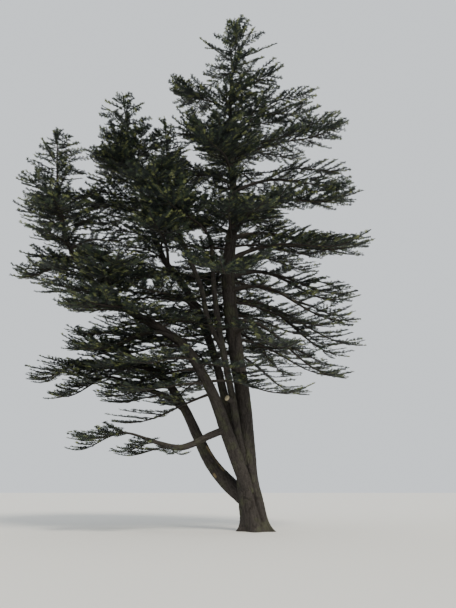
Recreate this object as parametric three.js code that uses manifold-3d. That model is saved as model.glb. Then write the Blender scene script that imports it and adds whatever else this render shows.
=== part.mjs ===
// A cedar of Lebanon, about 26 m tall: one leaning trunk that divides low down into several rising limbs,
// three pointed heads, and level tiers of needles held out from the trunk and limbs.
// Millimetres, +Z up, +X to the right of the tree as it is usually seen, +Y away from the viewer.
// The origin is in the middle of the flat cut at ground level.
import * as THREE from "three";
import { mergeVertices } from "three/addons/utils/BufferGeometryUtils.js";
import Module from "manifold-3d";

const wasm = await Module();
wasm.setup();

// Driving sizes of the wood
const FLARE_HEIGHT = 260; // height over which the root flare dies away
const FLARE_SPREAD = 200; // how far the flare stands out at the ground
const ROOT_RIBS = 5; // buttress ribs round the foot
const RIB_DEPTH = 0.16; // depth of a rib, as a share of the radius
const FUSED_DEPTH = 0.07; // how far the trunk is pinched in where two stems have grown together
const JOINT_GAP = 0.3; // clear gap where one piece of wood meets another

// Driving sizes of the foliage
const ARMS = 21; // side arms of a whole tier or spire
const TIER_STEP = 3; // the solid of a tier carries every third of them
const SPIRE_STEP = 2; // and that of a spire every second
const HEIGHT_WEIGHT = 2.2; // heights count for more than widths when the space between two tiers is shared out
const SPACE_MARGIN = 400; // how far an arm keeps from the edge of its own space
const LIMB_MARGIN = 330; // how far an arm keeps from the bark of any limb
const SHORTEST_ARM = 700;
const ARM_SLOPES = 1.3; // the steepest rise of an arm less the steepest fall, as a share of its length
const STEM_SHARE = 0.68; // how much of a tier's length its solid stem runs, in straight pieces
const STEM_PIECES = 4;
const LONG_ARM = 2600; // from this length on a blade has three teeth a side instead of two
const BLADE_HALF_WIDTH = 0.29; // half width across the teeth, as a share of the blade's length
const BLADE_THICKNESS = 0.05; // thickness along the rib, as a share of the blade's length
const BLADE_ROLL = 64; // degrees between the furthest rolls to the left and to the right
const TOOTH_SWEEP = 0.75; // how far a tooth points forward, as a share of its width

// Routes of the trunk and limbs: x, y, z and radius at each station, from the root end to the tip
const LIMBS = {
  trunk: {
    route: [
      [0, 0, 0, 560], [-190, 0, 1150, 545], [-340, 0, 2250, 450], [-350, 0, 3600, 350], [-480, 0, 5400, 330],
      [-780, 0, 7500, 335], [-1040, 0, 9700, 325], [-1130, 0, 11700, 300], [-880, 0, 14300, 205],
      [-930, 0, 17200, 145], [-1030, 0, 20000, 100], [-970, 0, 22000, 76],
    ],
    sides: 12, rings: 20,
  },
  left_limb: {
    route: [
      [-230, -180, 1500, 300], [-720, -420, 2700, 270], [-1220, -580, 4000, 255], [-1720, -650, 5350, 245],
      [-2320, -700, 6500, 232], [-3050, -720, 7620, 214], [-4120, -740, 8420, 190], [-5400, -780, 9150, 165],
    ],
    sides: 8, rings: 14,
  },
  left_limb_head: {
    route: [
      [-5350, -779, 9120, 155], [-6950, -810, 10250, 142], [-8300, -820, 12000, 122], [-9050, -820, 13900, 94],
      [-9300, -820, 15400, 74],
    ],
    sides: 7, rings: 9,
  },
  inner_limb: {
    route: [
      [-520, 260, 2700, 230], [-880, 520, 4000, 215], [-1300, 760, 5600, 200], [-1720, 880, 7300, 188],
      [-2300, 950, 9050, 176], [-3100, 980, 10750, 165], [-4300, 1000, 12400, 150],
    ],
    sides: 8, rings: 12,
  },
  inner_limb_head: {
    route: [
      [-4270, 999, 12360, 142], [-5080, 1010, 14400, 120], [-5750, 1010, 16700, 90], [-6200, 1010, 18100, 72],
    ],
    sides: 7, rings: 8,
  },
  low_limb: {
    route: [
      [-300, 260, 1150, 330], [-1150, 520, 1920, 330], [-1900, 700, 2780, 262], [-2500, 800, 3900, 222],
      [-3050, 840, 5000, 206], [-3750, 850, 6080, 190], [-4540, 860, 6860, 172],
    ],
    sides: 8, rings: 12,
  },
  low_limb_end: {
    route: [
      [-4500, 859, 6830, 160], [-5300, 900, 7130, 146], [-6200, 960, 7060, 128], [-7100, 1020, 7150, 104],
    ],
    sides: 7, rings: 6,
  },
  low_limb_fork: {
    route: [
      [-3150, 830, 5100, 138], [-3950, 640, 5640, 128], [-4800, 520, 5950, 112], [-5700, 420, 6240, 88],
    ],
    sides: 7, rings: 7,
  },
  sweeping_limb: {
    route: [
      [-1250, -600, 4060, 150], [-1950, -950, 3760, 134], [-2600, -1150, 3420, 126], [-3200, -1250, 3270, 116],
      [-3900, -1330, 3420, 92], [-4500, -1380, 3620, 66],
    ],
    sides: 7, rings: 9,
  },
  slender_limb: {
    route: [
      [-450, -220, 2600, 170], [-700, -400, 3800, 160], [-960, -520, 5400, 152], [-1300, -600, 7100, 148],
      [-1600, -640, 8800, 128], [-1800, -660, 10600, 108], [-1920, -680, 12700, 78],
    ],
    sides: 7, rings: 11,
  },
  slender_limb_fork: {
    route: [
      [-1380, -610, 7500, 112], [-2050, -780, 8900, 108], [-2350, -860, 10300, 100], [-2950, -940, 11800, 92],
      [-3650, -1000, 13700, 76], [-3980, -1020, 15600, 62],
    ],
    sides: 7, rings: 10,
  },
};

// Tiers: the limb each one grows on, the height where it leaves it (none means at the limb's tip), its compass
// direction in degrees (0 is +X, 90 is +Y), its level reach, and how far its tip is above where it starts.
const TIERS = [
  ["right_tier_01", "trunk", 9000, -16, 5000, -2900],
  ["right_tier_02", "trunk", 9900, 20, 6200, -2100],
  ["right_tier_03", "trunk", 10400, -14, 5900, -1700],
  ["right_tier_04", "trunk", 11100, 12, 6600, -400],
  ["right_tier_05", "trunk", 12000, -12, 6800, 500],
  ["right_tier_06", "trunk", 13100, 18, 6500, 600],
  ["right_tier_07", "trunk", 14300, -14, 6200, 600],
  ["right_tier_08", "trunk", 15600, 14, 6300, 1400],
  ["right_tier_09", "trunk", 17200, -12, 5800, 1700],
  ["right_tier_10", "trunk", 19000, 10, 4800, 2100],
  ["front_tier_01", "trunk", 8300, 300, 4800, -1300],
  ["front_tier_02", "trunk", 10600, 266, 5200, -500],
  ["front_tier_03", "trunk", 13200, 296, 5300, 200],
  ["front_tier_04", "trunk", 16200, 262, 4600, 700],
  ["back_tier_01", "trunk", 9200, 64, 5400, -1400],
  ["back_tier_02", "trunk", 12000, 106, 5400, 0],
  ["back_tier_03", "trunk", 15000, 70, 5200, 800],
  ["back_tier_04", "trunk", 18400, 100, 3800, 1300],
  ["upper_left_tier_01", "trunk", 16000, 168, 3400, 1300],
  ["upper_left_tier_02", "trunk", 17900, 202, 3200, 1200],
  ["upper_left_tier_03", "trunk", 20200, 172, 3300, 1800],
  ["upper_right_tier", "trunk", 20800, -20, 2900, 1600],
  ["crown_spire", "trunk", null, 0, 450, 4280],
  ["inner_head_spire", "inner_limb_head", null, 180, 680, 4080],
  ["inner_head_left_01", "inner_limb_head", 17200, 184, 2100, 900],
  ["inner_head_left_02", "inner_limb_head", 14800, 192, 3800, 600],
  ["inner_head_front", "inner_limb_head", 16200, 246, 3600, 600],
  ["inner_head_back", "inner_limb_head", 15600, 76, 4000, 1000],
  ["inner_head_right", "inner_limb_head", 14200, -30, 3200, 1000],
  ["inner_limb_left", "inner_limb", 11600, 160, 4800, 300],
  ["inner_limb_front", "inner_limb", 9700, 238, 5200, 100],
  ["inner_limb_upper", "inner_limb", 12100, 266, 5000, 600],
  ["inner_limb_back", "inner_limb", 10200, 98, 4800, 200],
  ["left_head_spire", "left_limb_head", null, 180, 300, 3350],
  ["left_head_left", "left_limb_head", 14400, 186, 1400, 700],
  ["left_head_front", "left_limb_head", 12900, 276, 4000, 400],
  ["left_head_back", "left_limb_head", 12400, 80, 4200, 600],
  ["left_head_right", "left_limb_head", 12200, -14, 3000, 300],
  ["left_limb_low", "left_limb", 7900, 204, 4600, -600],
  ["left_limb_front", "left_limb", 8700, 236, 4800, 200],
  ["left_limb_upper", "left_limb_head", 9900, 286, 4600, 500],
  ["left_head_low", "left_limb_head", 11100, 198, 3200, -500],
  ["slender_limb_tier", "slender_limb", null, 240, 4400, 900],
  ["slender_fork_spire", "slender_limb_fork", null, 180, 300, 3600],
  ["slender_fork_front", "slender_limb_fork", 13800, 262, 3900, 600],
  ["low_limb_upper_tier", "low_limb_end", 7000, 204, 4000, 1200],
  ["low_limb_end_tier", "low_limb_end", null, 178, 3500, -600],
  ["low_limb_fork_tier", "low_limb_fork", null, 206, 3500, -700],
  ["sweeping_limb_tier", "sweeping_limb", null, 190, 3200, 0],
].map(([name, limb, height, bearing, reach, rise], seed) => (
  { name, limb, height, bearing, reach, rise, seed }
));
const UP = new THREE.Vector3(0, 0, 1);
const AWAY = new THREE.Vector3(0, 1, 0);
const DEGREE = Math.PI / 180;
const SPIRE_TURN = (137.5 / SPIRE_STEP) * DEGREE; // a golden angle from each arm of the solid to the next
const BARK = new THREE.MeshStandardMaterial({ color: "#5b4f47", roughness: 0.95, metalness: 0 });
const NEEDLES = new THREE.MeshStandardMaterial({ color: "#34452a", roughness: 0.85, metalness: 0 });

// The seeded rule's number from 0 to 1 for one tier and one use
function chance(seed, use) {
  const value = Math.sin(seed * 12.9898 + use * 78.233) * 43758.5453;
  return value - Math.floor(value);
}

// A closed cylinder whose rings are carried along by place(t, angle), which gives the point at share t of the
// length and that angle round it
function sweep(sides, rings, place) {
  const geometry = new THREE.CylinderGeometry(1, 1, 1, sides, rings);
  const position = geometry.getAttribute("position");
  for (let i = 0; i < position.count; i++) {
    const t = position.getY(i) + 0.5;
    const fromAxis = Math.hypot(position.getX(i), position.getZ(i));
    const point = place(t, Math.atan2(position.getX(i), position.getZ(i)), fromAxis);
    position.setXYZ(i, point.x, point.y, point.z);
  }
  return solidOf(geometry);
}

// The closed solid of a geometry, once its seam vertices are merged and its collapsed faces dropped
function solidOf(geometry) {
  geometry.deleteAttribute("normal");
  geometry.deleteAttribute("uv");
  const merged = mergeVertices(geometry, 1e-3);
  const index = merged.index.array;
  const faces = [];
  for (let i = 0; i < index.length; i += 3) {
    const [a, b, c] = index.slice(i, i + 3);
    if (a !== b && b !== c && a !== c) faces.push(a, b, c);
  }
  return new wasm.Manifold(
    new wasm.Mesh({
      numProp: 3,
      vertProperties: merged.getAttribute("position").array,
      triVerts: new Uint32Array(faces),
    }),
  );
}

// The largest body of a solid: what a cut leaves loose is dropped
function largestBody(solid) {
  return solid.decompose().reduce((a, b) => (a.volume() >= b.volume() ? a : b));
}

function meshOf(name, solid, material) {
  const data = solid.getMesh();
  const geometry = new THREE.BufferGeometry();
  geometry.setAttribute("position", new THREE.BufferAttribute(new Float32Array(data.vertProperties), 3));
  geometry.setIndex(new THREE.BufferAttribute(new Uint32Array(data.triVerts), 1));
  const flat = geometry.toNonIndexed();
  flat.computeVertexNormals();
  const mesh = new THREE.Mesh(flat, material);
  mesh.name = name;
  return mesh;
}

// Centre, radius and direction of a limb at share t of its stations
function limbAt(limb, t) {
  const stations = limb.route.length - 1;
  const at = Math.min(t * stations, stations - 1e-9);
  const i = Math.floor(at);
  const radius = THREE.MathUtils.lerp(limb.route[i][3], limb.route[i + 1][3], at - i);
  return { centre: limb.curve.getPoint(t), radius, along: limb.curve.getTangent(t) };
}

// A limb's solid, made larger all round by the gap that its neighbours keep to it
function limbSolid(name, limb, gap = 0) {
  const level = name === "trunk";
  return sweep(limb.sides, limb.rings, (t, angle, fromAxis) => {
    const { centre, radius, along } = limbAt(limb, t);
    const side = level ? new THREE.Vector3(1, 0, 0) : new THREE.Vector3().crossVectors(AWAY, along).normalize();
    const front = level ? AWAY.clone().negate() : new THREE.Vector3().crossVectors(side, along);
    let r = radius;
    if (level) r = trunkRadius(radius, centre.z, angle);
    r = (r + gap) * fromAxis;
    return centre.clone()
      .addScaledVector(along, gap * Math.round(2 * t - 1))
      .addScaledVector(side, r * Math.sin(angle))
      .addScaledVector(front, r * Math.cos(angle));
  });
}

// The trunk's radius: buttress ribs and a flare at the foot, and a pinch on two sides up to the fork
function trunkRadius(radius, height, angle) {
  const flare = Math.exp(-height / FLARE_HEIGHT);
  const ribs = 1 + RIB_DEPTH * flare * Math.cos(ROOT_RIBS * angle + 0.6);
  const fused = 1 + FUSED_DEPTH * Math.exp(-height / 3000) * Math.cos(2 * angle - 0.9);
  return (radius + FLARE_SPREAD * flare) * ribs * fused;
}

// The share of a limb's stations where its centre line reaches a height
function shareAtHeight(limb, height) {
  let low = 0;
  let high = 1;
  for (let i = 0; i < 30; i++) {
    const middle = (low + high) / 2;
    if (limb.curve.getPoint(middle).z < height) low = middle;
    else high = middle;
  }
  return low;
}

for (const limb of Object.values(LIMBS)) {
  const points = limb.route.map(([x, y, z]) => new THREE.Vector3(x, y, z));
  limb.curve = new THREE.CatmullRomCurve3(points, false, "catmullrom", 0.5);
}

// The main stem of a tier: an S-curve that bows up, dips and lifts at its tip, or a nearly upright spire
for (const tier of TIERS) {
  const limb = LIMBS[tier.limb];
  const at = limbAt(limb, tier.height === null ? 1 : shareAtHeight(limb, tier.height));
  tier.spire = tier.name.endsWith("spire");
  tier.start = tier.height === null ? at.centre.clone().addScaledVector(at.along, -40) : at.centre;
  tier.length = Math.hypot(tier.reach, tier.rise);
  const slim = Math.min(0.6 * at.radius, 30 + 0.016 * tier.length);
  tier.thickness = tier.height === null ? 0.86 * at.radius : slim;
  const ahead = new THREE.Vector3(Math.cos(tier.bearing * DEGREE), Math.sin(tier.bearing * DEGREE), 0);
  const aside = new THREE.Vector3().crossVectors(UP, ahead);
  const arch = tier.spire ? 0 : 0.015 + 0.03 * chance(tier.seed, 1);
  const dip = tier.spire ? 0 : 0.03 + 0.02 * chance(tier.seed, 2) + (tier.rise < 0 ? 0.035 : 0);
  const bow = tier.spire ? 0.02 : 0.1 * (chance(tier.seed, 3) - 0.5);
  tier.point = (t) =>
    tier.start.clone()
      .addScaledVector(ahead, tier.reach * t)
      .addScaledVector(aside, bow * tier.length * Math.sin(Math.PI * t))
      .addScaledVector(UP, tier.rise * t + tier.length
        * (arch * Math.sin(Math.PI * t) + dip * Math.sin(2 * Math.PI * t)));
  tier.line = Array.from({ length: 9 }, (_, i) => tier.point(i / 8));
}

// Distance from a point to a line of points, with its nearest place, heights counting for more
function weightedDistance(point, line) {
  const lift = (p) => new THREE.Vector3(p.x, p.y, p.z * HEIGHT_WEIGHT);
  const from = lift(point);
  let nearest = Infinity;
  for (let i = 1; i < line.length; i++) {
    const segment = new THREE.Line3(lift(line[i - 1]), lift(line[i]));
    nearest = Math.min(nearest, segment.closestPointToPoint(from, true, new THREE.Vector3()).distanceTo(from));
  }
  return nearest;
}

// Whether a point lies in a tier's own space and clear of every limb
function inOwnSpace(point, tier) {
  const own = weightedDistance(point, tier.line);
  for (const other of TIERS) {
    if (other !== tier && weightedDistance(point, other.line) < own + SPACE_MARGIN) return false;
  }
  for (const limb of Object.values(LIMBS)) {
    for (let i = 0; i <= 24; i++) {
      const { centre, radius } = limbAt(limb, i / 24);
      if (centre.distanceTo(point) < radius + LIMB_MARGIN) return false;
    }
  }
  return point.z > SHORTEST_ARM;
}

// The place at share t of a tier's length, on the straight pieces of its solid stem as far as they run
function onStem(tier, t) {
  if (t >= STEM_SHARE) return tier.point(t);
  const piece = STEM_SHARE / STEM_PIECES;
  const from = Math.floor(t / piece) * piece;
  return tier.point(from).lerp(tier.point(from + piece), (t - from) / piece);
}

// Side arm number k of a tier: alternately left and right along the stem, or round a spire by the golden angle,
// shorter towards the tip, at one of several levels, and cut back to the tier's own space
function armOf(tier, k) {
  const place = (k + 0.3 + 0.4 * chance(tier.seed, 10 + k)) / ARMS;
  const t = tier.spire ? 0.05 + 0.88 * place : 0.16 + 0.76 * place;
  const side = k % 2 ? 1 : -1;
  const splay = (64 - 34 * t + 20 * (chance(tier.seed, 40 + k) - 0.5)) * DEGREE;
  const bearing = tier.spire ? SPIRE_TURN * k + tier.seed : tier.bearing * DEGREE + side * splay;
  const heading = new THREE.Vector3(Math.cos(bearing), Math.sin(bearing), 0);
  const slope = ARM_SLOPES * (chance(tier.seed, 70 + k) - 0.5) + 0.3 * tier.rise / tier.length;
  const level = tier.spire ? 0.02 + 0.5 * t : slope;
  const widest = Math.min(0.6, 0.3 + 1.2 * t, 0.7 * (1 - t) / Math.cos(splay));
  const fullest = tier.spire ? 0.56 * (1.12 - t) : widest;
  const start = onStem(tier, t);
  let length = tier.length * fullest * (0.85 + 0.3 * chance(tier.seed, 100 + k));
  const point = (s, reach) =>
    start.clone()
      .addScaledVector(heading, reach * s)
      .addScaledVector(UP, reach * (level * s + (0.08 - 0.5 * level) * s * s));
  const clear = () => [0.35, 0.55, 0.75, 1].every((s) => inOwnSpace(point(s, length), tier));
  while (length >= SHORTEST_ARM && !clear()) length *= 0.88;
  const roll = BLADE_ROLL * (chance(tier.seed, 130 + k) - 0.5) * DEGREE;
  return length < SHORTEST_ARM ? null : { length, roll, point: (s) => point(s, length) };
}

// A toothed blade of needles along a curve: a flat, sharp-edged solid whose teeth are swept forward
function blade(point, length, roll) {
  const teeth = length > LONG_ARM ? 3 : 2;
  const stations = 2 * teeth;
  const halfWidth = BLADE_HALF_WIDTH * length;
  return sweep(3, stations, (t, angle, fromAxis) => {
    const along = point(Math.min(1, t + 0.02)).sub(point(Math.max(0, t - 0.02))).normalize();
    const side = new THREE.Vector3().crossVectors(UP, along).normalize().applyAxisAngle(along, roll);
    const top = new THREE.Vector3().crossVectors(along, side);
    const station = Math.round(t * stations);
    const atEnd = station === 0 || station === stations;
    const outline = atEnd ? 0 : (station % 2 ? 1 : 0.42) * Math.sin(Math.PI * (0.2 + 0.8 * t));
    const width = halfWidth * outline * fromAxis;
    const thick = atEnd ? 0 : 0.5 * BLADE_THICKNESS * length * fromAxis;
    const across = Math.sin(angle) / Math.sin(120 * DEGREE);
    return point(t)
      .addScaledVector(side, -width * across)
      .addScaledVector(along, station % 2 ? width * TOOTH_SWEEP * Math.abs(across) : 0)
      .addScaledVector(top, thick * Math.cos(angle));
  });
}

// A tier's solid: its stem, a blade on the end of it and a blade for every third arm, fused
function tierSolid(tier) {
  const reference = tier.spire ? AWAY : UP;
  const stem = sweep(3, STEM_PIECES, (u, angle, fromAxis) => {
    const t = u * STEM_SHARE;
    const along = tier.point(t + 0.02).sub(tier.point(t - 0.02)).normalize();
    const side = new THREE.Vector3().crossVectors(reference, along).normalize();
    const front = new THREE.Vector3().crossVectors(side, along);
    const r = tier.thickness * (1 - 0.72 * u) * fromAxis;
    return tier.point(t).addScaledVector(side, r * Math.sin(angle)).addScaledVector(front, r * Math.cos(angle));
  });
  const tipFrom = 0.6;
  const parts = [stem, blade((s) => tier.point(tipFrom + (1 - tipFrom) * s), (1 - tipFrom) * tier.length, 0)];
  for (let k = 0; k < ARMS; k += tier.spire ? SPIRE_STEP : TIER_STEP) {
    const arm = armOf(tier, k);
    if (arm) parts.push(blade(arm.point, arm.length, arm.roll));
  }
  const fused = wasm.Manifold.union(parts);
  return largestBody(wood.reduce((solid, piece) => solid.subtract(piece), fused));
}

const tree = new THREE.Group();
const wood = []; // the trunk and limbs placed so far, each larger by the joint gap
for (const [name, limb] of Object.entries(LIMBS)) {
  const cut = wood.reduce((solid, piece) => solid.subtract(piece), limbSolid(name, limb));
  tree.add(meshOf(name, largestBody(cut), BARK));
  wood.push(limbSolid(name, limb, JOINT_GAP));
}
for (const tier of TIERS) {
  tree.add(meshOf(tier.name, tierSolid(tier), NEEDLES));
}

export default tree;
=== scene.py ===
# A cedar of Lebanon about 26 m tall, put together as it grows: trunk, limbs, boughs, side arms, twigs and
# needles. Everything is in metres, +Z up, with the origin in the flat cut under the trunk.
import bpy
import math
import numpy as np
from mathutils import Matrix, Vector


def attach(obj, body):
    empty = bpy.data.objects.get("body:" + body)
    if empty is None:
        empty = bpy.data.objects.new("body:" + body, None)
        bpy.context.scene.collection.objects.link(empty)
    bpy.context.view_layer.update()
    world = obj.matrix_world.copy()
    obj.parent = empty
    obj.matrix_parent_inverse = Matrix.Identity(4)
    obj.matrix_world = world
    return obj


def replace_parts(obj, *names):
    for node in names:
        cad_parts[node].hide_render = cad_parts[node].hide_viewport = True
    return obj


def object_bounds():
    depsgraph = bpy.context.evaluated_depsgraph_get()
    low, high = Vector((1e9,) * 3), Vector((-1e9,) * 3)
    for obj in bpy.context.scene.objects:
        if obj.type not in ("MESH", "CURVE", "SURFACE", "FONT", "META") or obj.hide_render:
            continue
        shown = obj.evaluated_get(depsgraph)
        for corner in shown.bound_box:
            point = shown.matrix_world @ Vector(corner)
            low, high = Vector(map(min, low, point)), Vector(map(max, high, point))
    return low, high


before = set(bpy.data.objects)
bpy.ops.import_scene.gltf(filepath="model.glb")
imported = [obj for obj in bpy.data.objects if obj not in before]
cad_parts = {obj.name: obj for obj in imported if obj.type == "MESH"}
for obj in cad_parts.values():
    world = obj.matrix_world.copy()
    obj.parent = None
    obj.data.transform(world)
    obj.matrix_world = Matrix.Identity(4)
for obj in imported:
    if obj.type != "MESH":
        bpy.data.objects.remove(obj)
cad_low, cad_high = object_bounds()

# Trunk
# The trunk is living wood under thick, dark, furrowed bark. Low down it is two stems grown into one, with a
# groove between them, and its roots flare out at the ground, where it is cut level.
TRUNK_ROUTE = [
    # x, y and z of each station, and the radius there
    [0, 0, 0, 0.56], [-0.19, 0, 1.15, 0.545], [-0.34, 0, 2.25, 0.45], [-0.35, 0, 3.6, 0.35],
    [-0.48, 0, 5.4, 0.33], [-0.78, 0, 7.5, 0.335], [-1.04, 0, 9.7, 0.325], [-1.13, 0, 11.7, 0.3],
    [-0.88, 0, 14.3, 0.205], [-0.93, 0, 17.2, 0.145], [-1.03, 0, 20, 0.1], [-0.97, 0, 22, 0.076],
]
FLARE_HEIGHT = 0.26
FLARE_SPREAD = 0.2
ROOT_RIBS = 5
RIB_DEPTH = 0.16
FLUTES = 9
FLUTE_DEPTH = 0.022
FLUTE_HEIGHT = 1.6
FUSED_DEPTH = 0.07
FUSED_HEIGHT = 3
GROOVE_HEIGHTS = [0, 0.6, 1.4, 2.2, 2.8, 3.6]
GROOVE_TURNS = [38, 30, 18, 12, -14, -30]
GROOVE_DEPTH = 0.13
GROOVE_HALF_TURN = 8
GROOVE_FADE = 1.2
BARK_PLATE = 0.07
PLATE_HEIGHT = 0.35
FURROW_DEPTH = 0.022
TRUNK_SEGMENTS = 160
FLARE_SHARE = 0.22
FLARE_RINGS = 230
UPPER_RINGS = 330
PALE_MARKS = [
    # x, y and z of a pale mark's two ends, and how far its edge fades
    [-2.05, 0.58, 3.42, -1.34, 0.4, 2.47, 0.04],
    [-1.74, 0.44, 2.25, -1.69, 0.42, 2.17, 0.03],
]
PALE_MARK_REACH = 0.035


def linear(colour):
    """Linear RGBA of an sRGB hex colour: a channel up to 0.04045 is divided by 12.92, and a brighter one is
    raised to the power 2.4 after adding 0.055 and dividing by 1.055."""
    channels = [int(colour[i:i + 2], 16) / 255 for i in (1, 3, 5)]
    return [c / 12.92 if c <= 0.04045 else ((c + 0.055) / 1.055) ** 2.4 for c in channels] + [1]


def along(route, share):
    """Points and radii at shares 0 to 1 of a route: a cubic runs through its stations, whose slope at each is
    half the step between its two neighbours, and the radius changes evenly from station to station."""
    stations = np.asarray(route, float)
    padded = np.vstack((2 * stations[0] - stations[1], stations, 2 * stations[-1] - stations[-2]))
    place = np.clip(share, 0, 1) * (len(stations) - 1)
    first = np.minimum(place.astype(int), len(stations) - 2)
    w = (place - first)[..., None]
    before, a, b, after = (padded[first + step] for step in range(4))
    rise_a, rise_b = (b - before) / 2, (after - a) / 2
    points = ((2 * w - 3) * w * w + 1) * a + ((w - 2) * w + 1) * w * rise_a
    points += (3 - 2 * w) * w * w * b + (w - 1) * w * w * rise_b
    return points[..., :3], (a + w * (b - a))[..., 3]


def unit(vectors):
    """Vectors divided by their own lengths."""
    return vectors / np.maximum(np.linalg.norm(vectors, axis=-1, keepdims=True), 1e-12)


def noise(points, seed):
    """Smooth noise from -1 to 1: each corner of a unit grid has a seeded number, the fraction of a large
    multiple of a sine, and the eight round a point are blended by the cubic 3f^2 - 2f^3."""
    corner = np.floor(points)
    f = points - corner
    f = f * f * (3 - 2 * f)
    total = np.zeros(points.shape[:-1])
    for step in np.ndindex(2, 2, 2):
        number = np.sin((corner + step) @ [127.1, 311.7, 74.7] + seed) * 43758.5453
        weight = np.prod(np.where(step, f, 1 - f), axis=-1)
        total += weight * (number - np.floor(number))
    return 2 * total - 1


def furrows(straight, plate):
    """How deep in a furrow each point of a straightened limb lies, 0 to 1: plates about five times as long as
    wide are parted where a smooth noise passes through zero, and finer cracks are added at half the width."""
    wide = noise(straight / (plate, plate, 5 * plate), 3)
    fine = noise(straight / (0.45 * plate, 0.45 * plate, 2 * plate), 11)
    return np.clip(np.exp(-(wide / 0.16) ** 2) + 0.45 * np.exp(-(fine / 0.14) ** 2), 0, 1.2)


def ring_frames(path, level):
    """Side and front directions of the rings along a path: level rings face +X and -Y, and any others lie
    square to the path, with their side level across the view."""
    if level:
        return np.tile([1.0, 0, 0], (len(path), 1)), np.tile([0, -1.0, 0], (len(path), 1))
    ahead = unit(np.gradient(path, axis=0))
    side = unit(np.cross([0, 1.0, 0], ahead))
    return side, np.cross(side, ahead)


def tube_faces(rings, segments):
    """Triangles of a tube of rings, numbered ring by ring, closed by a fan round a last point at each end."""
    i, j = np.meshgrid(np.arange(rings - 1), np.arange(segments), indexing="ij")
    a, b = i * segments + j, i * segments + (j + 1) % segments
    walls = np.stack((a, b, b + segments, a, b + segments, a + segments), -1).reshape(-1, 3)
    edge = np.arange(segments)
    following = (edge + 1) % segments
    foot, top = rings * segments, rings * segments + 1
    foot_fan = np.stack((np.full(segments, foot), following, edge), -1)
    last = (rings - 1) * segments
    top_fan = np.stack((np.full(segments, top), last + edge, last + following), -1)
    return np.vstack((walls, foot_fan, top_fan))


def new_piece(name, points, triangles, material, smooth=True):
    """An object at the origin with a mesh of these points and triangles and one material."""
    mesh = bpy.data.meshes.new(name)
    mesh.vertices.add(len(points))
    mesh.vertices.foreach_set("co", np.ascontiguousarray(points, np.float32).ravel())
    mesh.loops.add(3 * len(triangles))
    mesh.loops.foreach_set("vertex_index", np.ascontiguousarray(triangles, np.int32).ravel())
    mesh.polygons.add(len(triangles))
    mesh.polygons.foreach_set("loop_start", np.arange(0, 3 * len(triangles), 3, dtype=np.int32))
    mesh.polygons.foreach_set("use_smooth", np.full(len(triangles), smooth))
    mesh.update(calc_edges=True)
    mesh.materials.append(material)
    piece = bpy.data.objects.new(name, mesh)
    bpy.context.scene.collection.objects.link(piece)
    return piece


def bark_tube(name, route, shares, segments, radius_at, level, plate, depth, material):
    """A limb's bark: rings along the route, whose radius is radius_at(radius, path, turn). Plates stand proud
    of it, furrows are cut in to the depth, and broad lumps add up to half of that. Attributes keep the
    furrows, the pale marks and each point's place on the limb as if it were straight."""
    path, radius = along(route, shares)
    side, front = ring_frames(path, level)
    turn = np.linspace(0, 2 * math.pi, segments, endpoint=False)
    base = radius_at(radius[:, None], path[:, None, :], turn[None, :])
    length = np.concatenate(([0], np.cumsum(np.linalg.norm(np.diff(path, axis=0), axis=1))))
    steady = np.broadcast_to(radius[:, None], base.shape)
    tall = np.broadcast_to(length[:, None], base.shape)
    straight = np.stack((steady * np.sin(turn), -steady * np.cos(turn), tall), -1)
    furrow = furrows(straight + 40 * len(name), plate)
    lumps = noise(straight / (6 * plate, 6 * plate, 14 * plate), 23)
    rim = base + depth * (PLATE_HEIGHT - furrow + 0.5 * lumps)
    rim[0], rim[-1] = base[0], base[-1] * 0.9
    points = path[:, None, :] + rim[..., None] * (
        side[:, None, :] * np.sin(turn)[:, None] + front[:, None, :] * np.cos(turn)[:, None]
    )
    closed = np.vstack((points.reshape(-1, 3), path[[0, -1]]))
    piece = new_piece(name, closed, tube_faces(len(path), segments), material)
    for title, kind, field, values in (
        ("furrow", "FLOAT", "value", np.append(furrow.ravel(), [0.5, 0.5])),
        ("paleness", "FLOAT", "value", pale_mark_shares(closed)),
        ("straight", "FLOAT_VECTOR", "vector",
         np.vstack((straight.reshape(-1, 3), [[0, 0, 0], [0, 0, length[-1]]]))),
    ):
        attribute = piece.data.attributes.new(title, kind, "POINT")
        attribute.data.foreach_set(field, values.astype(np.float32).ravel())
    return piece


def pale_mark_shares(points):
    """How far points lie inside the pale marks, 0 to 1: a bell of the distance to either of two lines, a pale
    strip along the low limb and a short one below it."""
    paleness = np.zeros(len(points))
    for pale_mark in PALE_MARKS:
        start, end, width = np.array(pale_mark[:3]), np.array(pale_mark[3:6]), pale_mark[6]
        step = end - start
        share = np.clip((points - start) @ step / (step @ step), 0, 1)
        apart = np.linalg.norm(points - start - share[:, None] * step, axis=1)
        paleness = np.maximum(paleness, np.exp(-(np.maximum(apart - PALE_MARK_REACH, 0) / width) ** 2))
    return paleness


def feed(material, node, inputs):
    """Sets a node's inputs to values, or links them from other nodes' sockets."""
    for key, value in inputs.items():
        if isinstance(value, bpy.types.NodeSocket):
            material.node_tree.links.new(value, node.inputs[key])
        else:
            node.inputs[key].default_value = value


def add_node(material, kind, inputs, **settings):
    """A new shader node with its settings and its inputs."""
    node = material.node_tree.nodes.new(kind)
    for key, value in settings.items():
        setattr(node, key, value)
    feed(material, node, inputs)
    return node


def new_material(name):
    """A node material with its principled shader, which is linked to its output already."""
    material = bpy.data.materials.new(name)
    material.use_nodes = True
    return material, material.node_tree.nodes["Principled BSDF"]


def colour_steps(material, factor, steps):
    """A colour ramp from a factor, with steps of place and hex colour."""
    ramp = add_node(material, "ShaderNodeValToRGB", {"Fac": factor})
    while len(ramp.color_ramp.elements) < len(steps):
        ramp.color_ramp.elements.new(0.5)
    for element, (place, colour) in zip(ramp.color_ramp.elements, steps):
        element.position = place
        element.color = linear(colour)
    return ramp.outputs["Color"]


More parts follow.
